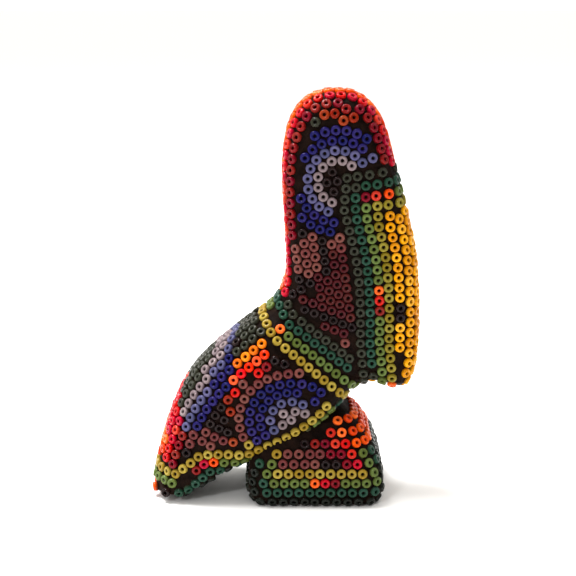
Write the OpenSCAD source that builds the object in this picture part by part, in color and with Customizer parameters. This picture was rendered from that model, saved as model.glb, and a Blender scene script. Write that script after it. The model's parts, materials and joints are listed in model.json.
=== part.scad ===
// Beaded pelican: a carved wooden core, a skin of beeswax, and rows of glass seed beads pressed into the wax.
// Frame: +X is the way the bird faces, +Z is up, and the origin is the centre of the base's underside.

/* [Beads] */
// Outer diameter of a glass seed bead
bead_d = 2.2; // [2.0:0.05:2.25]
// Diameter of a bead's thread hole
bead_bore = 0.8; // [0.6:0.1:0.9]
// Height of a bead along its hole
bead_h = 1.3; // [1.1:0.1:1.4]
// Depth to which a bead is pressed into the wax
bead_sink = 0.5; // [0.4:0.05:0.6]
// Bead spacing along a row
bead_pitch = 2.38; // [2.3:0.01:2.5]
// Spacing of neighbouring rows
row_step = 2.26; // [2.24:0.01:2.4]

/* [Body] */
// Thickness of the wax skin
wax_t = 1.0; // [0.8:0.1:1.2]
// Half width of the head and neck over the beads
head_half_w = 8.9; // [8:0.1:10]
// Half width of the body across the wings
body_half_w = 12.6; // [11:0.1:14]
// Half width at the tail's end
tail_half_w = 11.4; // [10:0.1:13]

/* [Hidden] */
bead_proud = bead_h - bead_sink; // bead top above the wax
bead_clear = bead_d + 0.01; // least spacing of two beads
bead_facets = 24;
steps = 3; // curve steps between two stations
edge_steps = 5; // steps across a rounded edge
face_steps = 3; // steps across a side face
view_tilt = 0.25; // slope of the pattern plane
view_half_w = 12; // half width at which the pattern plane meets the side

// Side outline over the beads at each station from the crown to the tail:
// [back x, back z, back rounding, front x, front z, front rounding]
STATIONS = [
  [  2.6, 97.3,  6.5,   7.8, 97.2, 6.5],
  [ -2.0, 95.5,  6.5,  12.2, 94.9, 6.5],
  [ -5.6, 91.0,  6.5,  15.7, 90.2, 6.5],
  [ -7.3, 84.0,  5.2,  17.8, 83.6, 6.0],
  [ -7.5, 76.0,  4.2,  20.0, 76.0, 5.5],
  [ -7.1, 68.0,  4.0,  22.1, 68.0, 5.5],
  [ -6.7, 60.0,  4.2,  23.9, 60.0, 5.5],
  [ -6.9, 53.5,  5.2,  24.9, 50.0, 5.5],
  [ -9.3, 48.6,  7.5,  25.1, 40.0, 5.5],
  [-13.5, 44.6,  8.5,  24.4, 31.5, 5.0],
  [-17.5, 41.5,  9.5,  21.4, 26.4, 4.5],
  [-21.3, 38.6, 10.0,  16.0, 27.4, 4.5],
  [-24.8, 35.5, 10.0,  11.5, 27.6, 4.5],
  [-28.2, 32.0, 10.0,   6.5, 23.6, 4.5],
  [-31.2, 27.7,  9.5,   1.0, 18.2, 4.5],
  [-33.6, 23.0,  9.0,  -6.0, 13.9, 4.0],
  [-35.5, 18.0,  8.5, -13.5, 10.6, 3.6],
  [-37.1, 13.0,  8.0, -20.0,  7.2, 3.2],
  [-38.4,  8.0,  7.5, -26.0,  3.6, 3.0],
  [-39.2,  4.0,  6.5, -31.0,  0.8, 2.4],
  [-38.8,  1.4,  4.0, -35.8,  0.1, 2.2]
];

// Base over the beads at each level: [z, rear x, front x, half width, corner radius]
LEVELS = [
  [ 0.0, -14.4, 15.4, 13.4, 4.0],
  [ 1.2, -15.4, 16.2, 13.9, 4.4],
  [ 3.5, -16.3, 16.9, 14.3, 4.8],
  [ 8.0, -16.4, 16.6, 14.2, 5.0],
  [12.0, -16.0, 15.2, 13.6, 5.5],
  [16.0, -14.0, 13.2, 12.4, 6.0],
  [19.5, -11.0, 10.8, 10.4, 6.0],
  [22.0,  -8.0,  7.5,  7.6, 6.0],
  [24.0,  -5.0,  4.0,  5.0, 4.0]
];

function clamp(v, lo, hi) = max(lo, min(hi, v));
function ease(t) = let (s = clamp(t, 0, 1)) s * s * (3 - 2 * s);
function unit(v) = v / norm(v);
function left(v) = [-v[1], v[0]];
function xz(p) = [p[0], p[1]];
function mix(a, b, t) = a * (1 - t) + b * t;
function at(L, i) = L[(i % len(L) + len(L)) % len(L)];
function join(LL) = [for (L = LL) for (e = L) e];
function spline(a, b, c, d, t) =
  0.5 * (2 * b + (c - a) * t + (2 * a - 5 * b + 4 * c - d) * t * t + (3 * b - a - 3 * c + d) * t * t * t);
function along(P, u) =
  let (n = len(P) - 1, i = min(floor(u), n - 1))
  spline(P[max(i - 1, 0)], P[i], P[i + 1], P[min(i + 2, n)], u - i);

// Closed outline, anticlockwise in X and Z: up the front from the tail to the crown, then down the back.
chain_n = (len(STATIONS) - 1) * steps;
CHAIN = [for (i = [0:chain_n]) along(STATIONS, i / steps)];
SKIN = concat(
  [for (i = [chain_n:-1:0]) [CHAIN[i][3], CHAIN[i][4], CHAIN[i][5]]],
  [for (i = [0:chain_n]) [CHAIN[i][0], CHAIN[i][1], CHAIN[i][2]]]
);
loop_n = len(SKIN);
function inward(L, i) = unit(left(xz(at(L, i + 1)) - xz(at(L, i - 1))));
// The wax outline lies inside the outline over the beads.
WAX = [
  for (i = [0:loop_n - 1])
    let (q = xz(SKIN[i]) + inward(SKIN, i) * bead_proud)
    [q[0], q[1], SKIN[i][2]]
];
NORMALS = [for (i = [0:loop_n - 1]) inward(WAX, i)];
START = [for (q = WAX) xz(q)];
EDGE = [for (i = [0:loop_n - 1]) xz(at(WAX, i + 1)) - xz(WAX[i])];
// Outline positions at a station number, on the front and on the back.
function front(u) = chain_n - u * steps;
function back(u) = chain_n + 1 + u * steps;

// Half width of the wax at a side-view point: it widens below the collar and narrows to the tail.
function half_w(p) =
  let (
    below = (p[0] + 1.6) * 0.69 + (p[1] - 35.5) * 0.72,
    wide = mix(head_half_w, body_half_w, ease((4 - below) / 10))
  )
  mix(wide, min(wide, tail_half_w), ease((-28 - p[0]) / 10)) - bead_proud;

// Depth of a side-view point inside the outline, with the inward direction and the rounding there.
function depth(p) =
  let (
    D = [
      for (i = [0:loop_n - 1])
        let (v = p - START[i], e = EDGE[i])
        norm(v - e * clamp((v * e) / (e * e), 0, 1))
    ],
    d = min(D),
    i = search(d, D)[0],
    e = EDGE[i],
    t = clamp(((p - START[i]) * e) / (e * e), 0, 1),
    inside = cross(e, p - START[i]) > 0
  )
  [inside ? d : -d, unit(left(e)), mix(WAX[i][2], at(WAX, i + 1)[2], t)];

// Near side of the wax at a side-view point, as a point and an outward normal.
function on_bird(p) =
  let (
    q = depth(p),
    r = q[2],
    c = clamp((r - q[0]) / r, 0, 1),
    g = sqrt(1 - c * c),
    w = half_w(p),
    wx = (half_w(p + [0.2, 0]) - w) / 0.2,
    wz = (half_w(p + [0, 0.2]) - w) / 0.2
  )
  [
    [p[0], -(w - r + r * g), p[1]],
    unit([-q[1][0] * c - wx * g, -g, -q[1][1] * c - wz * g])
  ];

// Wax surface at an outline position and an arc length from the mid-line, measured under the beads.
function off_midline(i, s) =
  let (
    a = floor(i),
    q = mix(at(WAX, a), at(WAX, a + 1), i - a),
    n = unit(mix(at(NORMALS, a), at(NORMALS, a + 1), i - a)),
    r = q[2],
    flat = half_w(xz(q) + n * r) - r,
    turn = clamp((s - flat) / (r - bead_sink) * 180 / PI, 0, 90),
    beyond = s - flat - (r - bead_sink) * PI / 2,
    p = xz(q) + n * (r * (1 - cos(turn)))
  )
  beyond > 0
    ? on_bird(xz(q) + n * (r + beyond))
    : [
        [p[0], -min(s, flat) - r * sin(turn), p[1]],
        [-n[0] * cos(turn), -sin(turn), -n[1] * cos(turn)]
      ];

// Rows, as lists of surface points with their normals.
function contour(i0, i1, s, s1 = undef) =
  let (n = max(2, ceil(abs(i1 - i0) * 1.5)), e = is_undef(s1) ? s : s1)
  [for (j = [0:n]) off_midline(mix(i0, i1, j / n), mix(s, e, j / n))];
function drape(P, n = 40, i0 = undef, i1 = undef) =
  let (m = len(P) - 1)
  concat(
    is_undef(i0) ? [] : [off_midline(i0, 0)],
    [
      for (j = [0:n])
        let (u = m * (1 - cos(180 * j / n)) / 2, k = min(floor(u), m - 1))
        on_bird(mix(P[k], P[k + 1], u - k))
    ],
    is_undef(i1) ? [] : [off_midline(i1, 0)]
  );
function arc_of(c, rx, rz, a0, a1) =
  let (n = max(2, ceil(abs(a1 - a0) / 9)))
  [for (j = [0:n]) let (a = mix(a0, a1, j / n)) on_bird(c + [rx * cos(a), rz * sin(a)])];

// Beads strung along a row. A bead is [middle of its underside, middle of its top, paint].
function spacing(f, g) =
  min(norm(f[0] - g[0] - (f[1] - g[1]) * bead_sink), norm(f[0] - g[0] + (f[1] - g[1]) * bead_proud));
function strung(R, paint, phase = 0) =
  let (
    S = [
      for (j = 0, s = 0; j < len(R);
        s = s + (j + 1 < len(R) ? spacing(R[j], R[j + 1]) : 0),
        j = j + 1)
        [s, j]
    ],
    total = S[len(R) - 1][0] - 2 * phase,
    n = max(1, floor(total / bead_pitch + 0.02)),
    gap = total / n
  )
  [
    for (k = [0:n])
      let (
        u = lookup(phase + k * gap, S),
        j = min(floor(u), len(R) - 2),
        p = mix(R[j][0], R[j + 1][0], u - j),
        m = unit(mix(R[j][1], R[j + 1][1], u - j))
      )
      bead(p, m, paint, k)
  ];
function bead(p, m, paint, k) =
  let (
    mid = abs(p[1]) < 0.6,
    q = mid ? [p[0], 0, p[2]] : p,
    v = mid ? unit([m[0], 0, m[2]]) : m
  )
  [q - v * bead_sink, q + v * bead_proud, paint([q[0], q[2] + view_tilt * (view_half_w + q[1])], q, k)];

// Rows are laid in order, and a bead is left out where it would touch one already laid.
function touching(a, b) =
  norm(b[0] - a[0]) < bead_clear
  || norm(b[1] - a[1]) < bead_clear
  || (
    norm(b[0] - a[0]) < 1.3 * bead_d
    && side_by_side(middle(b) - middle(a), unit(a[1] - a[0] + b[1] - b[0]))
  );
function middle(b) = (b[0] + b[1]) / 2;
function side_by_side(d, v) = norm(cross(d, v)) < bead_d && abs(d * v) < bead_h;
function clear_of(b, laid) =
  (b[0][1] == 0 || max(b[0][1], b[1][1]) < -bead_clear / 2)
  && [for (a = laid) if (touching(a, b)) 1] == [];
function thin(R) =
  [
    for (i = 0, L = []; i <= len(R);
      L = i < len(R) && clear_of(R[i], L) ? concat(L, [R[i]]) : L,
      i = i + 1)
      if (i == len(R)) L
  ][0];
function lay(rows) =
  [
    for (i = 0, L = []; i <= len(rows);
      L = i < len(rows) ? concat(L, thin([for (b = rows[i]) if (b[2] != "" && clear_of(b, L)) b])) : L,
      i = i + 1)
      if (i == len(rows)) L
  ][0];
function plain(name) = function (v, q, k) name;

// Crest: from the bill's root over the crown and down the back of the neck.
function rim(i) = let (a = floor(i)) mix(xz(at(WAX, a)), xz(at(WAX, a + 1)), i - a);
CREST_NAMES = ["crest_orange", "crest_orange", "crest_red", "crest_garnet"];
function crest_row(k) =
  strung(
    contour(front(3.3), back(k == 3 ? 5.6 : 7.5), k * row_step),
    plain(CREST_NAMES[k]),
    (k % 2) * bead_pitch / 2
  );

// Eye: a pupil of five beads in rings of white, lavender and blue, all open towards the bill.
eye = [5.1, 76.9];
function eye_ring(k, name, a0, a1) =
  strung(arc_of(eye, 2.37 + 2.24 * k, 2.66 + 2.24 * k, a0, a1), plain(name));
pupil = [
  for (p = [[-1.6, 2.1], [0.8, 2.5], [-2.4, -0.5], [-0.1, 0.2], [-0.9, -2.2]])
    let (f = on_bird(eye + p))
    bead(f[0], f[1], plain("eye_black"), 0)
];
brow = function (v, q, k) q[0] > 1 ? "accent_rust" : "head_olive";

// Bill: bands that run up from the tip and turn a corner beside the eye, then a yellow fill.
BANDS = ["bill_lime", "bill_green", "bill_teal", "bill_olive"];
BAND_CORNERS = [[14.15, 71.4], [11.45, 73.4], [9.1, 75.7], [7.15, 77.8]];
function band_row(k) =
  let (s = 11.8 + 2.24 * k)
  strung(
    concat(
      drape([[30.4 - s, 28.2], xz3(off_midline(front(8.1), s))], 10),
      contour(front(8), front(4.88 - 0.23 * k), s),
      [on_bird(BAND_CORNERS[k])]
    ),
    k == 0 ? lime_paint : k == 1 ? green_paint : plain(BANDS[k])
  );
function band_arm(k) =
  let (
    i = front(4.5 - 0.32 * k),
    c = BAND_CORNERS[k],
    away = unit(rim(i) - c) * bead_pitch
  )
  strung(drape([c + away, rim(i)], 14, undef, i), k == 1 ? green_paint : plain(BANDS[k]));
function xz3(f) = [f[0][0], f[0][2]];
lime_paint = function (v, q, k) q[2] < 30 ? "accent_orange" : "bill_lime";
green_paint = function (v, q, k)
  q[2] > 72.4
  ? (
    q[0] > 16.8 ? "bill_green"
    : q[0] > 14.6 ? "accent_orange"
    : q[0] > 12.4 ? "accent_red"
    : "accent_garnet"
  )
  : q[2] < 53.4 && q[2] > 50.8 ? "accent_orange"
  : q[2] < 51 && q[2] > 48.7 ? "accent_red"
  : q[2] < 48.7 && q[2] > 46.4 ? "accent_garnet"
  : "bill_green";
bill_paint = function (v, q, k)
  abs(v[0] - 20.6) < 1.2 && abs(v[1] - 48.3) < 2.3 ? "bill_black" : "bill_yellow";
function bill_row(k) =
  let (s = 2.36 * k)
  strung(
    k < 4
      ? contour(front(12.2), front(4.75), s)
      : concat(
          drape([[29.6 - s, 28.2], xz3(off_midline(front(8.1), s))], 10),
          contour(front(8), front(4.75), s)
        ),
    bill_paint,
    (k % 2) * bead_pitch / 2
  );

// Neck: rows that slope down towards the bill.
neck_paint = function (v, q, k)
  let (x = q[0], z = q[2], w = z + 0.39 * x)
  w < 42.5 ? (x > 0.3 && z > 35 ? "neck_rose" : "collar_olive")
  : w < 44.9 ? "neck_garnet"
  : w < 47.3 ? "neck_black"
  : z > 64.6 && x < 8 ? (x < -1.5 ? "neck_black" : "head_blue")
  : abs(x - 1.7) < 1.1 && z > 55.6 ? "neck_black"
  : x < 0.6 && z > 54.4 ? "neck_rose"
  : z > 60.9 ? "neck_rose"
  : x < -1.6 && z > 50 ? "neck_black"
  : "neck_garnet";
function neck_row(j) =
  let (u = [cos(21.5), -sin(21.5)], up = [sin(21.5), cos(21.5)])
  [
    for (i = [-9:9])
      let (p = [3, 25] + u * 2.36 * (i + 0.5 * (j % 2)) + up * 2.07 * j)
      if (p[0] > -6 && p[0] < 14.5 && depth(p)[0] > 0.5)
        let (f = on_bird(p)) bead(f[0], f[1], neck_paint, i)
  ];

// Collar: four rows round the foot of the neck.
COLLAR_NAMES = ["collar_yellow", "collar_green", "collar_teal", "collar_olive"];
COLLAR_ENDS = [12.7, 12.25, 11.6, 10.75];
function collar_paint(k) =
  function (v, q, j)
    k != 1 ? COLLAR_NAMES[k]
    : q[0] > -8.6 && q[0] < -6.6 ? "accent_orange"
    : q[0] > -10 && q[0] <= -8.6 ? "accent_red"
    : q[0] > 10.4 ? "accent_red"
    : "collar_green";
function collar_row(k) =
  let (
    a = back(8.8 - 0.42 * k),
    b = front(COLLAR_ENDS[k]),
    bend = [-9.4 + 1.45 * k, 40.4 + 1.78 * k]
  )
  strung(drape([rim(a), bend, rim(b)], 48, a, b), collar_paint(k));

// Wing and back.
flower = [-5.4, 21.3];
FLOWER_NAMES = [
  "flower_white", "flower_white", "flower_lavender", "flower_blue", "flower_blue", "flower_rose"
];
function flower_row(k) =
  strung(arc_of(flower, 2.46 * k + 0.01, 2.25 * k + 0.01, -10, 215), plain(FLOWER_NAMES[k]));
wing_paint = function (v, q, k)
  let (
    x = v[0],
    h = v[1],
    z = q[2],
    a = -q[1], // distance from the mid-line
    w = (x + 25.6) * 0.884 - (h - 31.5) * 0.468, // distance in front of the white band
    f = (x + 14.5) * 0.66 - (h - 37.2) * 0.75 // distance below the flame's upper edge
  )
  x < -38.3 && a > 4 ? ""
  : x < -28 && z < 28 - 0.8 * a && a < 9.9 ? (a < 8.9 && z < 19.5 - 0.6 * a ? "tail_orange" : "tail_red")
  : x < -30.3 && z < 20 && a < 10.7 ? "tail_garnet"
  : x < -29.3 && h < 17.5 ? "wing_black"
  : h < 19.4 - 0.3 * abs(x + 26) && x < -19.4 ? "wing_rose"
  : x > -19.2 && x < -9.4 && f > -1.4 && f < 7.6 && h > 26.8
    ? (
      x > -11.3 ? "wing_garnet"
      : f < 0.7 ? "wing_orange"
      : f < 2.6 ? "wing_flame"
      : f < 4.4 ? "wing_red"
      : "wing_garnet"
    )
  : x > -9.6 ? "wing_black"
  : w < -1.2 ? "back_olive"
  : x > -18.05 && h > 33 ? "back_olive"
  : w < 1.1 ? "wing_white"
  : w < 2.6 ? "wing_lavender"
  : x < -19.3 - 0.42 * max(0, 32 - h) && h > 16.8 + 0.95 * (x + 30.2) ? "wing_blue"
  : abs(x + 18.8) < 1.5 && h > 15.2 && h < 27.2 && !(h > 17.2 && h < 19.2) && !(h > 23.8 && h < 25.3)
    ? "accent_rust"
  : "wing_black";
function back_row(k) =
  strung(
    contour(back(k == 0 ? 7.6 : 9.0), back(19.7), k * row_step),
    k == 0 ? mid_paint : wing_paint,
    k == 0 ? 0 : ((k + 1) % 2) * bead_pitch / 2
  );
mid_paint = function (v, q, k)
  q[2] > 50.3 ? "collar_olive"
  : q[2] > 48.2 ? "collar_teal"
  : q[2] > 46 ? "collar_green"
  : q[2] > 43.8 ? "collar_yellow"
  : q[2] < 7.6 ? ""
  : wing_paint([q[0], q[2] + 3], q, k);

// Wing's lower border and underside.
EDGE_NAMES = ["edge_dark", "edge_teal", "edge_green", "edge_yellow"];
function edge_paint(k) =
  function (v, q, j)
    k != 2 ? EDGE_NAMES[k]
    : (q[0] > -28.8 && q[0] < -26.7) || (q[0] > -9.5 && q[0] < -7.3) ? "accent_garnet"
    : (q[0] >= -26.7 && q[0] < -24.6) || (q[0] >= -7.3 && q[0] < -5) ? "accent_red"
    : (q[0] >= -24.6 && q[0] < -22.4) || (q[0] >= -5 && q[0] < -2.6) ? "accent_orange"
    : "edge_green";
function edge_row(k) =
  let (a = back(19.85 - 0.6 * k), s = 8.5 + k * row_step, t = 4.7 + k * row_step)
  strung(
    concat(
      k == 0 ? [] : drape([rim(a), xz3(off_midline(front(19), s))], 16, a),
      contour(front(18.9), front(17.5), s, s + 1.5),
      contour(front(17.4), front(16.2), s + 1.5, t),
      contour(front(16.1), front(12.7), t)
    ),
    edge_paint(k)
  );
function under_row(k) =
  strung(contour(front(19.9), front(12.2), k * row_step), plain("edge_dark"), (k % 2) * bead_pitch / 2);
function inner_row(k) =
  strung(contour(front(18.6), front(13), 17 + k * row_step), wing_paint, (k % 2) * bead_pitch / 2);

// Base: level rings, built up from the foot.
function level(z) = [for (c = [1:4]) lookup(z, [for (L = LEVELS) [L[0], L[c]]])];
function shrunk(z, inset) =
  let (L = level(z))
  [L[0] + inset, L[1] - inset, L[2] - inset, max(L[3] - inset, 1)];
function base_frame(x, y, n, z) =
  let (
    up = level(z + 0.4) - level(z - 0.4),
    rise = ((n[0] > 0 ? n[0] * up[1] : n[0] * up[0]) - n[1] * up[2]) / 0.8
  )
  [[x, y, z], unit([n[0], n[1], -rise])];
// Half a ring on the near side, from x0 on the side face to the front (dir = 1) or to the rear (dir = -1).
function half_ring(z, x0, dir) =
  let (
    L = shrunk(z, bead_proud),
    xe = dir > 0 ? L[1] : L[0],
    xc = xe - dir * L[3],
    yc = -L[2] + L[3]
  )
  concat(
    [for (t = [0:0.125:0.99]) base_frame(mix(x0, xc, t), -L[2], [0, -1], z)],
    [
      for (a = [0:15:90])
        base_frame(xc + dir * L[3] * sin(a), yc - L[3] * cos(a), [dir * sin(a), -cos(a)], z)
    ],
    [for (t = [0.2:0.2:1]) base_frame(xe, yc * (1 - t), [dir, 0], z)]
  );
base_step = 2.32;
BASE_BANDS = ["base_dark", "base_teal", "base_green", "base_yellow"];
base_paint = function (v, q, k)
  let (
    x = q[0],
    z = q[2],
    L = level(z),
    low = round((z - 1.2) / base_step),
    rear = round((x + 15) / 2.15 - (L[2] + q[1] - 1) / 2.15),
    fore = 3 - round((x + L[2] + q[1] - L[1] + 3.1) / 2.3),
    m = max(0, min(low, rear, fore)),
    g = (x - 2) * 0.6 + (z - 12) * 0.8
  )
  m == 2 && low == 2 && x > 0 && x < 6.6
  ? (x < 2 ? "accent_orange" : x < 4.4 ? "accent_red" : "accent_garnet")
  : m < 4 && (z < 14 || rear < 4) ? BASE_BANDS[m]
  : x < 2.5 && z < 15 ? "base_rose"
  : z < 10.4 || g < 1.4 ? "base_black"
  : g < 3.6 ? "base_garnet"
  : g < 6 ? "base_red"
  : "base_orange";
function in_bird(c) =
  let (p = [c[0], c[2]])
  depth(p)[0] > 0 && -c[1] < -on_bird(p)[0][1] + 1.1;
function in_base(c) =
  let (L = level(c[2]))
  c[2] < 23 && c[0] > L[0] - 0.4 && c[0] < L[1] + 0.4 && -c[1] < L[2] + 0.4;
function base_rows() =
  [
    for (j = [0:9], dir = [1, -1])
      let (z = j == 0 ? 1.15 : 1.25 + base_step * j, x0 = 0.2 + (j % 2) * bead_pitch / 2)
      [
        for (b = strung(half_ring(z, dir > 0 ? x0 : x0 - bead_pitch, dir), base_paint))
          if (z < 7 || !in_bird(middle(b))) b
      ]
  ];

BIRD_ROWS = concat(
  [for (k = [0:3]) crest_row(k)],
  [for (k = [3:-1:0]) each [band_row(k), band_arm(k)]],
  [for (k = [0:4]) bill_row(k)],
  [
    eye_ring(1, "eye_white", 48, 254),
    eye_ring(2, "eye_lavender", 37, 272),
    eye_ring(3, "head_blue", 38, 280),
    eye_ring(4, "head_blue", 44, 286),
    strung(contour(front(1.6), back(2.2), 4 * row_step), brow),
    pupil
  ],
  [for (k = [3:-1:0]) collar_row(k)],
  [for (k = [3:-1:0]) edge_row(k)],
  [for (k = [5:-1:0]) flower_row(k)],
  [for (k = [0:12]) [for (b = back_row(k)) if (!in_base(b[0])) b]],
  [for (k = [0:3]) inner_row(k)],
  [for (j = [0:24]) neck_row(j)],
  [for (k = [0:3]) [for (b = under_row(k)) if (!in_base(b[0])) b]]
);
// A row may run past the outline, and its beads end where the wax does.
ROWS = lay(concat(
  [for (row = BIRD_ROWS) [for (b = row) if (depth([b[0][0], b[0][2]])[0] > 0) b]],
  base_rows()
));

// Stray beads fill what gaps are left, black in the eye and elsewhere in the colour of the bead beside them.
function nearest_paint(c, laid) =
  let (D = [for (a = laid) norm(c - a[0])])
  norm([c[0], c[2]] - eye) < 3.7 ? "eye_black" : laid[search(min(D), D)[0]][2];
function filled(L, x0) =
  let (
    by = [for (a = L) if (abs(a[0][0] - x0 - 1.2) < 5) a],
    new = thin(
      [
        for (x = [max(x0, -38):0.6:x0 + 2], z = [1.2:0.6:96])
          if ([for (a = by) if (norm([a[0][0] - x, a[0][2] - z]) < 1.6) 1] == [])
          let (q = depth([x, z]))
          if (q[0] > 0.3)
            let (f = on_bird([x, z]), b = bead(f[0], f[1], plain("stray"), 0))
            if (!in_base(b[0]) && clear_of(b, by)) b
      ]
    )
  )
  concat(L, [for (b = new) [b[0], b[1], nearest_paint(b[0], by)]]);
NEAR = [for (x = -40, L = ROWS; x <= 28; L = x < 26 ? filled(L, x) : L, x = x + 2.4) if (x > 25.6) L][0];

// Solid of the bird, set in by a given amount: a ring of points at each station, joined up.
function ring_of(i, inset) =
  let (
    a = chain_n + 1 + i,
    b = chain_n - i,
    p = START[a] + NORMALS[a] * inset,
    q = START[b] + NORMALS[b] * inset,
    whole = norm(q - p),
    ra = (WAX[a][2] - inset) * min(1, whole / (WAX[a][2] + WAX[b][2])),
    rb = (WAX[b][2] - inset) * min(1, whole / (WAX[a][2] + WAX[b][2])),
    F = concat(
      [for (j = [0:edge_steps]) ra * (1 - cos(90 * j / edge_steps))],
      [for (j = [1:face_steps - 1]) mix(ra, whole - rb, j / face_steps)],
      [for (j = [edge_steps:-1:0]) whole - rb * (1 - cos(90 * j / edge_steps))]
    ),
    SIDE = [for (f = F) side_point(mix(p, q, f / whole), inset)],
    n = len(SIDE)
  )
  concat(SIDE, [for (j = [n - 1:-1:0]) [SIDE[j][0], -SIDE[j][1], SIDE[j][2]]]);
function side_point(p, inset) =
  let (
    q = depth(p),
    c = clamp((q[2] - q[0]) / (q[2] - inset), 0, 1)
  )
  [p[0], -(half_w(p) - q[2] + (q[2] - inset) * sqrt(1 - c * c)), p[1]];
module bird_solid(inset, stride) {
  RINGS = [for (i = [0:stride:chain_n]) ring_of(i, inset)];
  n = len(RINGS[0]);
  m = len(RINGS);
  half = n / 2;
  polyhedron(
    points = join(RINGS),
    faces = concat(
      [for (i = [0:m - 2], j = [0:n - 1]) [i * n + j, i * n + (j + 1) % n, (i + 1) * n + (j + 1) % n]],
      [for (i = [0:m - 2], j = [0:n - 1]) [i * n + j, (i + 1) * n + (j + 1) % n, (i + 1) * n + j]],
      [for (j = [0:half - 2]) [j + 1, j, n - 1 - j]],
      [for (j = [0:half - 2]) [j + 1, n - 1 - j, n - 2 - j]],
      [for (j = [0:half - 2]) [(m - 1) * n + j, (m - 1) * n + j + 1, m * n - 1 - j]],
      [for (j = [0:half - 2]) [(m - 1) * n + j + 1, m * n - 2 - j, m * n - 1 - j]]
    ),
    convexity = 6
  );
}
module base_slab(z, inset) {
  L = shrunk(z, inset);
  translate([L[0] + L[3], -L[2] + L[3], z])
    linear_extrude(0.01)
      hull()
        for (x = [0, L[1] - L[0] - 2 * L[3]], y = [0, 2 * (L[2] - L[3])])
          translate([x, y])
            circle(r = L[3], $fn = 24);
}
module base_solid(inset, floor_z) {
  Z = concat([floor_z], [for (j = [1:len(LEVELS) - 1]) LEVELS[j][0]]);
  for (j = [0:len(Z) - 2])
    hull() {
      base_slab(Z[j], inset);
      base_slab(Z[j + 1], inset);
    }
}

// One bead: a short drilled glass cylinder, stood on its underside and facing outwards.
module seed_bead(b, far) {
  v = unit(b[1] - b[0]);
  mirror([0, far ? 1 : 0, 0])
    translate((b[0] + b[1]) / 2)
      rotate([0, acos(v[2]), atan2(v[1], v[0])])
        difference() {
          cylinder(d = bead_d, h = bead_h, center = true, $fn = bead_facets);
          cylinder(d = bead_bore, h = bead_h + 1, center = true, $fn = bead_facets);
        }
}
// All beads of one paint, on both sides of the bird.
module beads(name) {
  for (b = NEAR)
    if (b[2] == name) {
      seed_bead(b, false);
      if (b[0][1] < 0)
        seed_bead(b, true);
    }
}

module wood_core()
  color([0.36, 0.22, 0.13]) {
    bird_solid(wax_t, 2);
    base_solid(bead_proud + wax_t, 0);
  }
module wax_skin()
  color([0.25, 0.12, 0.06])
    difference() {
      union() {
        bird_solid(0, 1);
        base_solid(bead_proud, 0.15);
      }
      union() {
        bird_solid(wax_t, 2);
        base_solid(bead_proud + wax_t, -1);
      }
    }
module crest_orange_beads() color([1.0, 0.36, 0.06]) beads("crest_orange");
module crest_red_beads() color([0.9, 0.1, 0.16]) beads("crest_red");
module crest_garnet_beads() color([0.45, 0.05, 0.13]) beads("crest_garnet");
module head_olive_beads() color([0.2, 0.22, 0.16]) beads("head_olive");
module head_blue_beads() color([0.12, 0.14, 0.55]) beads("head_blue");
module eye_lavender_beads() color([0.45, 0.5, 0.74]) beads("eye_lavender");
module eye_white_beads() color([0.85, 0.76, 0.78]) beads("eye_white");
module eye_black_beads() color([0.1, 0.08, 0.08]) beads("eye_black");
module bill_olive_beads() color([0.2, 0.22, 0.16]) beads("bill_olive");
module bill_teal_beads() color([0.15, 0.4, 0.3]) beads("bill_teal");
module bill_green_beads() color([0.45, 0.62, 0.25]) beads("bill_green");
module bill_lime_beads() color([0.68, 0.66, 0.25]) beads("bill_lime");
module bill_yellow_beads() color([0.96, 0.7, 0.06]) beads("bill_yellow");
module bill_black_beads() color([0.1, 0.08, 0.08]) beads("bill_black");
module neck_rose_beads() color([0.7, 0.4, 0.38]) beads("neck_rose");
module neck_garnet_beads() color([0.34, 0.09, 0.12]) beads("neck_garnet");
module neck_black_beads() color([0.1, 0.08, 0.08]) beads("neck_black");
module collar_olive_beads() color([0.2, 0.22, 0.16]) beads("collar_olive");
module collar_teal_beads() color([0.15, 0.4, 0.3]) beads("collar_teal");
module collar_green_beads() color([0.45, 0.62, 0.25]) beads("collar_green");
module collar_yellow_beads() color([0.85, 0.8, 0.35]) beads("collar_yellow");
module back_olive_beads() color([0.2, 0.22, 0.16]) beads("back_olive");
module wing_white_beads() color([0.85, 0.76, 0.78]) beads("wing_white");
module wing_lavender_beads() color([0.45, 0.5, 0.74]) beads("wing_lavender");
module wing_blue_beads() color([0.12, 0.14, 0.55]) beads("wing_blue");
module wing_orange_beads() color([1.0, 0.55, 0.02]) beads("wing_orange");
module wing_flame_beads() color([1.0, 0.24, 0.08]) beads("wing_flame");
module wing_red_beads() color([0.9, 0.1, 0.16]) beads("wing_red");
module wing_garnet_beads() color([0.45, 0.05, 0.13]) beads("wing_garnet");
module wing_rose_beads() color([0.7, 0.4, 0.38]) beads("wing_rose");
module wing_black_beads() color([0.1, 0.08, 0.08]) beads("wing_black");
module flower_white_beads() color([0.85, 0.76, 0.78]) beads("flower_white");
module flower_lavender_beads() color([0.45, 0.5, 0.74]) beads("flower_lavender");
module flower_blue_beads() color([0.12, 0.14, 0.55]) beads("flower_blue");
module flower_rose_beads() color([0.7, 0.4, 0.38]) beads("flower_rose");
module tail_orange_beads() color([1.0, 0.36, 0.06]) beads("tail_orange");
module tail_red_beads() color([0.9, 0.1, 0.16]) beads("tail_red");
module tail_garnet_beads() color([0.45, 0.05, 0.13]) beads("tail_garnet");
module edge_yellow_beads() color([0.85, 0.8, 0.35]) beads("edge_yellow");
module edge_green_beads() color([0.45, 0.62, 0.25]) beads("edge_green");
module edge_teal_beads() color([0.15, 0.4, 0.3]) beads("edge_teal");
module edge_dark_beads() color([0.16, 0.18, 0.16]) beads("edge_dark");
module base_yellow_beads() color([0.85, 0.8, 0.35]) beads("base_yellow");
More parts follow.
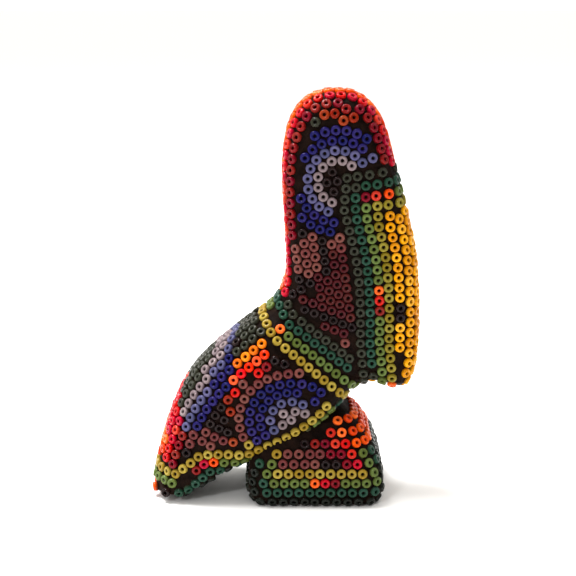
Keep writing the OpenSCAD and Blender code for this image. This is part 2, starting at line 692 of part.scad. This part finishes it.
module base_green_beads() color([0.45, 0.62, 0.25]) beads("base_green");
module base_teal_beads() color([0.15, 0.4, 0.3]) beads("base_teal");
module base_dark_beads() color([0.16, 0.18, 0.16]) beads("base_dark");
module base_rose_beads() color([0.7, 0.4, 0.38]) beads("base_rose");
module base_black_beads() color([0.1, 0.08, 0.08]) beads("base_black");
module base_garnet_beads() color([0.45, 0.05, 0.13]) beads("base_garnet");
module base_red_beads() color([0.9, 0.1, 0.16]) beads("base_red");
module base_orange_beads() color([1.0, 0.36, 0.06]) beads("base_orange");
module accent_orange_beads() color([1.0, 0.36, 0.06]) beads("accent_orange");
module accent_red_beads() color([0.9, 0.1, 0.16]) beads("accent_red");
module accent_garnet_beads() color([0.45, 0.05, 0.13]) beads("accent_garnet");
module accent_rust_beads() color([0.75, 0.25, 0.12]) beads("accent_rust");

wood_core();
wax_skin();
crest_orange_beads();
crest_red_beads();
crest_garnet_beads();
head_olive_beads();
head_blue_beads();
eye_lavender_beads();
eye_white_beads();
eye_black_beads();
bill_olive_beads();
bill_teal_beads();
bill_green_beads();
bill_lime_beads();
bill_yellow_beads();
bill_black_beads();
neck_rose_beads();
neck_garnet_beads();
neck_black_beads();
collar_olive_beads();
collar_teal_beads();
collar_green_beads();
collar_yellow_beads();
back_olive_beads();
wing_white_beads();
wing_lavender_beads();
wing_blue_beads();
wing_orange_beads();
wing_flame_beads();
wing_red_beads();
wing_garnet_beads();
wing_rose_beads();
wing_black_beads();
flower_white_beads();
flower_lavender_beads();
flower_blue_beads();
flower_rose_beads();
tail_orange_beads();
tail_red_beads();
tail_garnet_beads();
edge_yellow_beads();
edge_green_beads();
edge_teal_beads();
edge_dark_beads();
base_yellow_beads();
base_green_beads();
base_teal_beads();
base_dark_beads();
base_rose_beads();
base_black_beads();
base_garnet_beads();
base_red_beads();
base_orange_beads();
accent_orange_beads();
accent_red_beads();
accent_garnet_beads();
accent_rust_beads();
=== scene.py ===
"""Looks of the beaded pelican: rounded glass beads, beeswax and carved wood, all placed by the CAD frame."""

import json
import math

import bpy
import numpy as np
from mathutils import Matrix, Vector
from mathutils.bvhtree import BVHTree


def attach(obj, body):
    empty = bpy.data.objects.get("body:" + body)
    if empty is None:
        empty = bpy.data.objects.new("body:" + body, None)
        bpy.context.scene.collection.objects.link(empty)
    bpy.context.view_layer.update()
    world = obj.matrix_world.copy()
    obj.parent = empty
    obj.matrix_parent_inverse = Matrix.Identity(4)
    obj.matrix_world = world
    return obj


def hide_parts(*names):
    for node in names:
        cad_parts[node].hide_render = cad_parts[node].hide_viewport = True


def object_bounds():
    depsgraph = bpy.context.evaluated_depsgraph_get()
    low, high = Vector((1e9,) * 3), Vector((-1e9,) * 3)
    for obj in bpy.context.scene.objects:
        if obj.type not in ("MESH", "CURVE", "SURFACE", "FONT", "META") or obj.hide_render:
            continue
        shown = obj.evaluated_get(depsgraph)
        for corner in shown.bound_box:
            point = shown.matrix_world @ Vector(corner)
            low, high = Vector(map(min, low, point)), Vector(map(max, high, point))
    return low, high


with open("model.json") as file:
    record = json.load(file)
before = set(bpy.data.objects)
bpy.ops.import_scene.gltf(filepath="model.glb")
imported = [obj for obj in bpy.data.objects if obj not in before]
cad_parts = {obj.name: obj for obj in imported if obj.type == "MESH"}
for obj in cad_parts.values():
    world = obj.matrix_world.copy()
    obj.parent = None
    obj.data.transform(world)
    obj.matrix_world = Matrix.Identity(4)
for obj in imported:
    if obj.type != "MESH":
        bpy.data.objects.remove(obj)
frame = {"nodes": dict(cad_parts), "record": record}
cad_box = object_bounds()

MM = 0.001
FULL_TURN = 2 * math.pi

# The bead's ring, in metres; a squareness of 1 gives a round section, and less a boxier one
BEAD_R = 1.17 * MM
BORE_R = 0.35 * MM
BEAD_HALF_H = 0.65 * MM
BEAD_SIDES = 20
SECTION_POINTS = 12
SECTION_SQUARENESS = 0.80

# How much one bead differs from the next
SIZE_SPREAD = 0.012
HEIGHT_SPREAD = 0.05
OVAL_SPREAD = 0.012
TILT_SPREAD = math.radians(3.5)

# Painted shade, in wax brown, darkens a bead's foot, up to this share of its half height above the middle
FOOT_SHADE_RISE = 0.35
# Painted shade darkens the hole inside this radius, over this width, and up to this share of the half height
SHADE_R = 0.62 * MM
SHADE_FADE = 0.2 * MM
SHADE_RISE = 1.1

# CAD points closer than this are one point
WELD = 0.001 * MM
# CAD points nearer a bead's centre than this share of its radius lie on the rims of its hole
HOLE_REACH = 0.9
# Beads are put in order by their places, rounded to this
PLACE_STEP = 0.01 * MM
# An axis with more than this much of X in it is squared up against Y instead
NEARLY_ALONG_X = 0.8

# The camera: the point it looks at, its distance, how steeply it looks down, and its lens in mm
CAMERA_AIM = (-6.17 * MM, 0.0, 50.10 * MM)
CAMERA_DISTANCE = 270.0 * MM
CAMERA_SLOPE = math.radians(14)
CAMERA_LENS = 70.7
CAMERA_SENSOR = 36.0
CAMERA_NEAR = 5.0 * MM

# The studio: half the floor's side, and each light's place, side and power in watts
FLOOR_REACH = 30.0
FLOOR_PAINT = (0.93, 0.93, 0.93, 1.0)
LIGHT_AIM = (0.0, 0.0, 0.045)
LIGHTS = {
    "overhead": ((-0.25, 0.10, 0.75), 0.30, 10.0),
    "front": ((-0.35, -0.55, 0.50), 0.07, 1.2),
}
SKY_COLOUR = (1.0, 0.975, 0.93, 1.0)
SKY_BRIGHT_SIDE = (-0.25, 0.65, 0.72)

# Bead colours: the slot's paint, how much light passes into the glass, and roughness
GLASS = {
    "glass_orange": ((0.80, 0.075, 0.003), 0.25, 0.14),
    "glass_flame": ((0.78, 0.032, 0.006), 0.25, 0.14),
    "glass_red": ((0.52, 0.004, 0.011), 0.25, 0.14),
    "glass_garnet": ((0.19, 0.004, 0.008), 0.15, 0.16),
    "glass_burgundy": ((0.060, 0.005, 0.0065), 0.10, 0.18),
    "glass_rust": ((0.27, 0.028, 0.007), 0.10, 0.20),
    "glass_olive": ((0.0259, 0.0274, 0.0173), 0.05, 0.20),
    "glass_teal": ((0.0136, 0.0527, 0.031), 0.08, 0.20),
    "glass_green": ((0.100, 0.140, 0.030), 0.10, 0.20),
    "glass_lime": ((0.23, 0.18, 0.018), 0.10, 0.20),
    "glass_golden_yellow": ((0.80, 0.33, 0.002), 0.15, 0.16),
    "glass_amber": ((0.80, 0.18, 0.002), 0.20, 0.14),
    "glass_pale_yellow": ((0.34, 0.235, 0.032), 0.12, 0.20),
    "glass_blue": ((0.0125, 0.0095, 0.095), 0.12, 0.16),
    "glass_lavender": ((0.078, 0.076, 0.170), 0.10, 0.20),
    "glass_white": ((0.225, 0.170, 0.180), 0.15, 0.20),
    "glass_rose": ((0.155, 0.041, 0.036), 0.10, 0.20),
    "glass_black": ((0.010, 0.0035, 0.0035), 0.02, 0.16),
    "glass_dark_green": ((0.0087, 0.0118, 0.0081), 0.02, 0.20),
}
# A bead's cloudy streaks, and the painted shade in its hole, as shares of its paint
STREAK_SHADE = 0.55
HOLE_PAINTED_SHADE = 0.30
# Painted shade at a bead's foot, where it meets the wax, tinted wax brown
PAINTED_FOOT_SHADE = (0.030, 0.013, 0.008)

WAX_DARK = (0.004, 0.002, 0.0015)
WAX_LIGHT = (0.013, 0.006, 0.004)
WAX_FLECK = (0.040, 0.017, 0.009)

WOOD_DARK = (0.42, 0.25, 0.12)
WOOD_LIGHT = (0.62, 0.42, 0.23)
WOOD_PORE = (0.26, 0.14, 0.06)
# The grain runs up the figure, so its pattern is stretched along Z
GRAIN_STRETCH = (1.0, 1.0, 0.08)

# The mix node's colour sockets
MIX_FIRST = 6
MIX_SECOND = 7
MIX_RESULT = 2


def set_inputs(made, values):
    """A node's input values set by socket name."""
    for socket, value in values.items():
        made.inputs[socket].default_value = value


def new_material(name):
    """An empty node material with its shader and output joined."""
    material = bpy.data.materials.new(name)
    material.use_nodes = True
    tree = material.node_tree
    tree.nodes.clear()
    shader = tree.nodes.new("ShaderNodeBsdfPrincipled")
    output = tree.nodes.new("ShaderNodeOutputMaterial")
    tree.links.new(shader.outputs["BSDF"], output.inputs["Surface"])
    return material, tree, shader


def node(tree, kind, links=(), **settings):
    """A node with its own settings, and links from other sockets to its inputs."""
    made = tree.nodes.new(kind)
    for key, value in settings.items():
        setattr(made, key, value)
    for socket, source in links:
        tree.links.new(source, made.inputs[socket])
    return made


def noise(tree, place, scale, detail, roughness):
    """A noise texture over a place."""
    made = node(tree, "ShaderNodeTexNoise", [("Vector", place)])
    set_inputs(made, {"Scale": scale, "Detail": detail, "Roughness": roughness})
    return made.outputs["Fac"]


def ramp(tree, source, low, high, start=0.0, end=1.0):
    """A number scaled from start..end to low..high, and held at its ends."""
    made = node(tree, "ShaderNodeMapRange", [("Value", source)])
    set_inputs(made, {"From Min": start, "From Max": end, "To Min": low, "To Max": high})
    return made.outputs["Result"]


def combined(tree, operation, a, b):
    """Two numbers combined by one operation."""
    return node(tree, "ShaderNodeMath", [(0, a), (1, b)], operation=operation).outputs["Value"]


def mixed(tree, first, second, factor):
    """Two colours mixed; each may be a socket or a plain colour."""
    made = node(tree, "ShaderNodeMix", [(0, factor)], data_type="RGBA")
    for socket, value in ((MIX_FIRST, first), (MIX_SECOND, second)):
        if isinstance(value, bpy.types.NodeSocket):
            tree.links.new(value, made.inputs[socket])
        else:
            made.inputs[socket].default_value = (*value, 1.0)
    return made.outputs[MIX_RESULT]


def bumpy(tree, height, strength, depth, below=None):
    """A surface normal roughened by a height, on top of another normal if one is given."""
    made = node(tree, "ShaderNodeBump", [("Height", height)])
    set_inputs(made, {"Strength": strength, "Distance": depth})
    if below is not None:
        tree.links.new(below, made.inputs["Normal"])
    return made.outputs["Normal"]


def attribute(tree, name):
    """A number stored on the mesh."""
    return node(tree, "ShaderNodeAttribute", attribute_name=name).outputs["Fac"]


def shaded(paint, share):
    """A paint darkened to a share of itself."""
    return tuple(part * share for part in paint)


def glass_material(slot, paint, depth, rough):
    """Opaque or milky glass with a cloudy body, tone varying from bead to bead, and painted shade at its
    feet and in its hole.
    """
    material, tree, shader = new_material(slot)
    place = node(tree, "ShaderNodeTexCoord").outputs["Object"]
    tone = attribute(tree, "tone")
    cloud = noise(tree, place, scale=1400.0, detail=4.0, roughness=0.6)
    speck = noise(tree, place, scale=7000.0, detail=2.0, roughness=0.5)

    toned = node(tree, "ShaderNodeHueSaturation")
    toned.inputs["Color"].default_value = (*paint, 1.0)
    tree.links.new(ramp(tree, tone, low=0.491, high=0.509), toned.inputs["Hue"])
    tree.links.new(ramp(tree, tone, low=1.06, high=0.98), toned.inputs["Saturation"])
    tree.links.new(ramp(tree, tone, low=0.78, high=1.14), toned.inputs["Value"])

    streaks = ramp(tree, cloud, low=0.0, high=0.5, start=0.40, end=0.75)
    body = mixed(tree, toned.outputs["Color"], shaded(paint, STREAK_SHADE), streaks)
    patches = ramp(tree, cloud, low=0.6, high=1.0)
    # Painted shade at each bead's foot, toward the wax, in wax brown and broken into patches
    foot_shaded = mixed(tree, body, PAINTED_FOOT_SHADE, combined(tree, "MULTIPLY", attribute(tree, "foot_shade"), patches))
    # Painted shade in and round the bead's hole
    bore_shaded = mixed(tree, foot_shaded, shaded(paint, HOLE_PAINTED_SHADE), attribute(tree, "bore_shade"))
    tree.links.new(bore_shaded, shader.inputs["Base Color"])

    smears = ramp(tree, cloud, low=rough - 0.05, high=rough + 0.16, start=0.35, end=0.75)
    tree.links.new(smears, shader.inputs["Roughness"])
    fine = bumpy(tree, speck, strength=0.25, depth=0.03 * MM)
    waves = bumpy(tree, cloud, strength=0.35, depth=0.06 * MM, below=fine)
    tree.links.new(waves, shader.inputs["Normal"])
    set_inputs(shader, {
        "IOR": 1.52,
        "Specular IOR Level": 0.06,
        "Coat Weight": 0.16,
        "Coat Roughness": 0.04,
        "Subsurface Weight": depth,
        "Subsurface Radius": (1.0, 0.7, 0.6),
        "Subsurface Scale": 0.5 * MM,
    })
    return material


def wax_material():
    """Dark beeswax, pressed by hand: lumpy, and glossier in some places than in others."""
    material, tree, shader = new_material("beeswax")
    place = node(tree, "ShaderNodeTexCoord").outputs["Object"]
    lumps = noise(tree, place, scale=420.0, detail=4.0, roughness=0.6)
    grain = noise(tree, place, scale=3200.0, detail=3.0, roughness=0.6)

    colour = mixed(tree, WAX_DARK, WAX_LIGHT, ramp(tree, lumps, low=0.0, high=1.0, start=0.35, end=0.70))
    flecked = mixed(tree, colour, WAX_FLECK, ramp(tree, grain, low=0.0, high=0.5, start=0.62, end=0.80))
    tree.links.new(flecked, shader.inputs["Base Color"])
    dull = ramp(tree, grain, low=0.50, high=0.75, start=0.3, end=0.7)
    tree.links.new(dull, shader.inputs["Roughness"])
    fine = bumpy(tree, grain, strength=0.4, depth=0.06 * MM)
    coarse = bumpy(tree, lumps, strength=0.6, depth=0.5 * MM, below=fine)
    tree.links.new(coarse, shader.inputs["Normal"])
    set_inputs(shader, {
        "Specular IOR Level": 0.03,
        "Subsurface Weight": 0.1,
        "Subsurface Radius": (1.0, 0.4, 0.2),
        "Subsurface Scale": 0.4 * MM,
    })
    return material


def wood_material():
    """Carved softwood with long grain up the figure and tool marks."""
    material, tree, shader = new_material("carved_wood")
    place = node(tree, "ShaderNodeTexCoord").outputs["Object"]
    stretched = node(tree, "ShaderNodeMapping", [("Vector", place)])
    stretched.inputs["Scale"].default_value = GRAIN_STRETCH
    rings = noise(tree, stretched.outputs["Vector"], scale=380.0, detail=5.0, roughness=0.65)
    pores = noise(tree, stretched.outputs["Vector"], scale=2600.0, detail=3.0, roughness=0.6)
    marks = noise(tree, place, scale=160.0, detail=2.0, roughness=0.5)

    colour = mixed(tree, WOOD_DARK, WOOD_LIGHT, ramp(tree, rings, low=0.0, high=1.0, start=0.35, end=0.65))
    porous = mixed(tree, colour, WOOD_PORE, ramp(tree, pores, low=0.0, high=0.7, start=0.60, end=0.78))
    tree.links.new(porous, shader.inputs["Base Color"])
    worn = ramp(tree, rings, low=0.55, high=0.78, start=0.3, end=0.7)
    tree.links.new(worn, shader.inputs["Roughness"])
    fine = bumpy(tree, pores, strength=0.5, depth=0.08 * MM)
    coarse = bumpy(tree, marks, strength=0.5, depth=0.4 * MM, below=fine)
    tree.links.new(coarse, shader.inputs["Normal"])
    return material


def welded_mesh(mesh):
    """A mesh's points, each once, and the pairs of points that its triangles join."""
    flat = np.empty(len(mesh.vertices) * 3)
    mesh.vertices.foreach_get("co", flat)
    mesh.calc_loop_triangles()
    corners = np.empty(len(mesh.loop_triangles) * 3, np.int64)
    mesh.loop_triangles.foreach_get("vertices", corners)
    keys = np.round(flat.reshape(-1, 3) / WELD).astype(np.int64)
    keys, welded = np.unique(keys, axis=0, return_inverse=True)
    corners = welded.reshape(-1)[corners].reshape(-1, 3)
    pairs = np.concatenate([corners[:, [0, 1]], corners[:, [1, 2]], corners[:, [2, 0]]])
    return keys * WELD, pairs


def bead_places(mesh):
    """Centre and hole direction of each bead in a CAD mesh, in a fixed order."""
    points, pairs = welded_mesh(mesh)
    group = np.arange(len(points))
    while True:
        lowest = group.copy()
        np.minimum.at(lowest, pairs[:, 0], group[pairs[:, 1]])
        np.minimum.at(lowest, pairs[:, 1], group[pairs[:, 0]])
        if (lowest == group).all():
            break
        group = lowest
    places = []
    for label in np.unique(group):
        bead = points[group == label]
        centre = bead.mean(axis=0)
        arms = bead - centre
        rims = arms[np.linalg.norm(arms, axis=1) < HOLE_REACH * BEAD_R]
        _, directions = np.linalg.eigh(rims.T @ rims)
        places.append((centre, directions[:, 2]))
    places.sort(key=lambda place: tuple(np.round(place[0] / PLACE_STEP).astype(int)))
    return places


def bead_section():
    """The bead's cross-section as (radius, height) points round a soft-cornered ring."""
    middle = (BEAD_R + BORE_R) / 2
    reach = (BEAD_R - BORE_R) / 2
    points = []
    for step in range(SECTION_POINTS):
        turn = FULL_TURN * (step + 0.5) / SECTION_POINTS
        cosine, sine = math.cos(turn), math.sin(turn)
        across = math.copysign(abs(cosine) ** SECTION_SQUARENESS, cosine)
        up = math.copysign(abs(sine) ** SECTION_SQUARENESS, sine)
        points.append((middle + reach * across, BEAD_HALF_H * up))
    return np.array(points)


def bead_quads():
    """The faces of one bead, as corners counted along each ring of its section."""
    quads = []
    for ring in range(SECTION_POINTS):
        here = ring * BEAD_SIDES
        there = (ring + 1) % SECTION_POINTS * BEAD_SIDES
        for side in range(BEAD_SIDES):
            beyond = (side + 1) % BEAD_SIDES
            quads.append((here + side, here + beyond, there + beyond, there + side))
    return np.array(quads)


def square_frame(axis, spin):
    """Three columns: two across the axis, turned by spin, and the axis."""
    axis = axis / np.linalg.norm(axis)
    aid = np.array([1.0, 0.0, 0.0]) if abs(axis[0]) < NEARLY_ALONG_X else np.array([0.0, 1.0, 0.0])
    first = np.cross(axis, aid)
    first /= np.linalg.norm(first)
    second = np.cross(axis, first)
    cosine, sine = math.cos(spin), math.sin(spin)
    return np.stack([first * cosine + second * sine, second * cosine - first * sine, axis], axis=1)


def bead_frame(axis, rng):
    """A bead's own directions, tilted a little off its axis and turned at random about it."""
    tilt = rng.normal(0.0, TILT_SPREAD, 2)
    upright = square_frame(axis, rng.uniform(0, FULL_TURN))
    leaning = upright[:, 2] + upright[:, 0] * tilt[0] + upright[:, 1] * tilt[1]
    return square_frame(leaning, rng.uniform(0, FULL_TURN))


def bead_mesh(name, places, wax, seed):
    """One mesh of rounded beads, each a little different, with its tone and its masks of painted shade at
    the foot and in the hole stored on it.
    """
    rng = np.random.default_rng(seed)
    section = bead_section()
    radius = np.repeat(section[:, 0], BEAD_SIDES)
    height = np.repeat(section[:, 1], BEAD_SIDES)
    around = np.tile(FULL_TURN * np.arange(BEAD_SIDES) / BEAD_SIDES, SECTION_POINTS)
    level = height / BEAD_HALF_H
    # Mask of painted shade toward the wax, at each bead's foot
    foot_shade = np.clip(FOOT_SHADE_RISE - level, 0, 1)
    # Mask of painted shade in and round the hole
    bore_shade = np.clip((SHADE_R - radius) / SHADE_FADE, 0, 1) * np.clip(SHADE_RISE - level, 0, 1)
    quads = bead_quads()

    verts, faces, tones = [], [], []
    for n, (centre, axis) in enumerate(places):
        _, normal, _, _ = wax.find_nearest(Vector(centre))
        if Vector(axis).dot(normal) < 0:
            axis = -axis
        basis = bead_frame(axis, rng)
        wide = 1 + rng.normal(0.0, SIZE_SPREAD)
        tall = 1 + rng.normal(0.0, HEIGHT_SPREAD)
        oval = rng.normal(0.0, OVAL_SPREAD)
        reach = radius * wide * (1 + oval * np.cos(2 * around))
        local = np.stack([reach * np.cos(around), reach * np.sin(around), height * tall], axis=1)
        verts.append(centre + local @ basis.T)
        faces.append(quads + n * len(radius))
        tones.append(np.full(len(radius), rng.uniform(0, 1)))

    mesh = bpy.data.meshes.new(name)
    mesh.from_pydata(np.concatenate(verts).tolist(), [], np.concatenate(faces).tolist())
    stored = {
        "tone": np.concatenate(tones),
        "foot_shade": np.tile(foot_shade, len(places)),
        "bore_shade": np.tile(bore_shade, len(places)),
    }
    for key, values in stored.items():
        layer = mesh.attributes.new(key, "FLOAT", "POINT")
        layer.data.foreach_set("value", values.astype(np.float32))
    mesh.shade_smooth()
    mesh.update()
    return mesh


def shown(name, data):
    """A new object in the scene."""
    made = bpy.data.objects.new(name, data)
    bpy.context.collection.objects.link(made)
    return made


# The camera stands a little above the head and looks down at the figure's middle
camera_data = bpy.data.cameras.new("camera")
camera_data.lens = CAMERA_LENS
camera_data.sensor_width = CAMERA_SENSOR
camera_data.clip_start = CAMERA_NEAR
camera = shown("camera", camera_data)
camera.location = (
    CAMERA_AIM[0],
    CAMERA_AIM[1] - CAMERA_DISTANCE * math.cos(CAMERA_SLOPE),
    CAMERA_AIM[2] + CAMERA_DISTANCE * math.sin(CAMERA_SLOPE),
)
camera.rotation_euler = (math.pi / 2 - CAMERA_SLOPE, 0, 0)
bpy.context.scene.camera = camera

# Beads: each CAD node is replaced by a mesh of rounded glass
materials = {slot: glass_material(slot, *look) for slot, look in GLASS.items()}
slots = {part["node"]: part["material_slot"] for part in frame["record"]["subparts"]}
wax_mesh = frame["nodes"]["wax_skin"].data
wax_tree = BVHTree.FromPolygons(
    [vertex.co.copy() for vertex in wax_mesh.vertices],
    [tuple(polygon.vertices) for polygon in wax_mesh.polygons],
)
for seed, name in enumerate(sorted(frame["nodes"])):
    if not name.endswith("_beads"):
        continue
    glass_name = name.replace("_beads", "_glass")
    places = bead_places(frame["nodes"][name].data)
    piece = shown(glass_name, bead_mesh(name, places, wax_tree, seed))
    piece.data.materials.append(materials[slots[name]])
    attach(piece, "root")
    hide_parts(name)

# Wax and wood keep their CAD shape
for name, material in (("wax_skin", wax_material()), ("wood_core", wood_material())):
    for held in frame["nodes"][name].material_slots:
        held.material = material

# Pale floor, running far past the view
low = cad_box[0][2]
floor_corners = [(x * FLOOR_REACH, y * FLOOR_REACH, low) for x, y in ((-1, -1), (1, -1), (1, 1), (-1, 1))]
floor_mesh = bpy.data.meshes.new("floor")
floor_mesh.from_pydata(floor_corners, [], [(0, 1, 2, 3)])
floor = shown("floor", floor_mesh)
floor_material, _, floor_shader = new_material("floor")
set_inputs(floor_shader, {"Base Color": FLOOR_PAINT, "Roughness": 0.9})
floor_mesh.materials.append(floor_material)

# Square soft lights, all facing the figure
for name, (place, side, power) in LIGHTS.items():
    light_data = bpy.data.lights.new(name, "AREA")
    light_data.size = side
    light_data.energy = power
    light = shown(name, light_data)
    light.location = place
    light.rotation_euler = (Vector(LIGHT_AIM) - Vector(place)).to_track_quat("-Z", "Y").to_euler()

# White surroundings, brightest above and behind the figure, with a pale band at the horizon
world = bpy.data.worlds.new("studio")
world.use_nodes = True
sky = world.node_tree
backdrop = sky.nodes["Background"]
backdrop.inputs["Color"].default_value = SKY_COLOUR
direction = node(sky, "ShaderNodeTexCoord").outputs["Generated"]
facing = node(sky, "ShaderNodeVectorMath", [(0, direction)], operation="DOT_PRODUCT")
facing.inputs[1].default_value = SKY_BRIGHT_SIDE
above = ramp(sky, facing.outputs["Value"], low=0.10, high=1.5, start=-0.35, end=0.75)
rise = node(sky, "ShaderNodeSeparateXYZ", [(0, direction)]).outputs["Z"]
horizon = ramp(sky, rise, low=0.9, high=0.0, start=0.10, end=0.18)
sky.links.new(combined(sky, "MAXIMUM", horizon, above), backdrop.inputs["Strength"])
bpy.context.scene.world = world
bpy.context.scene.view_settings.view_transform = "Standard"
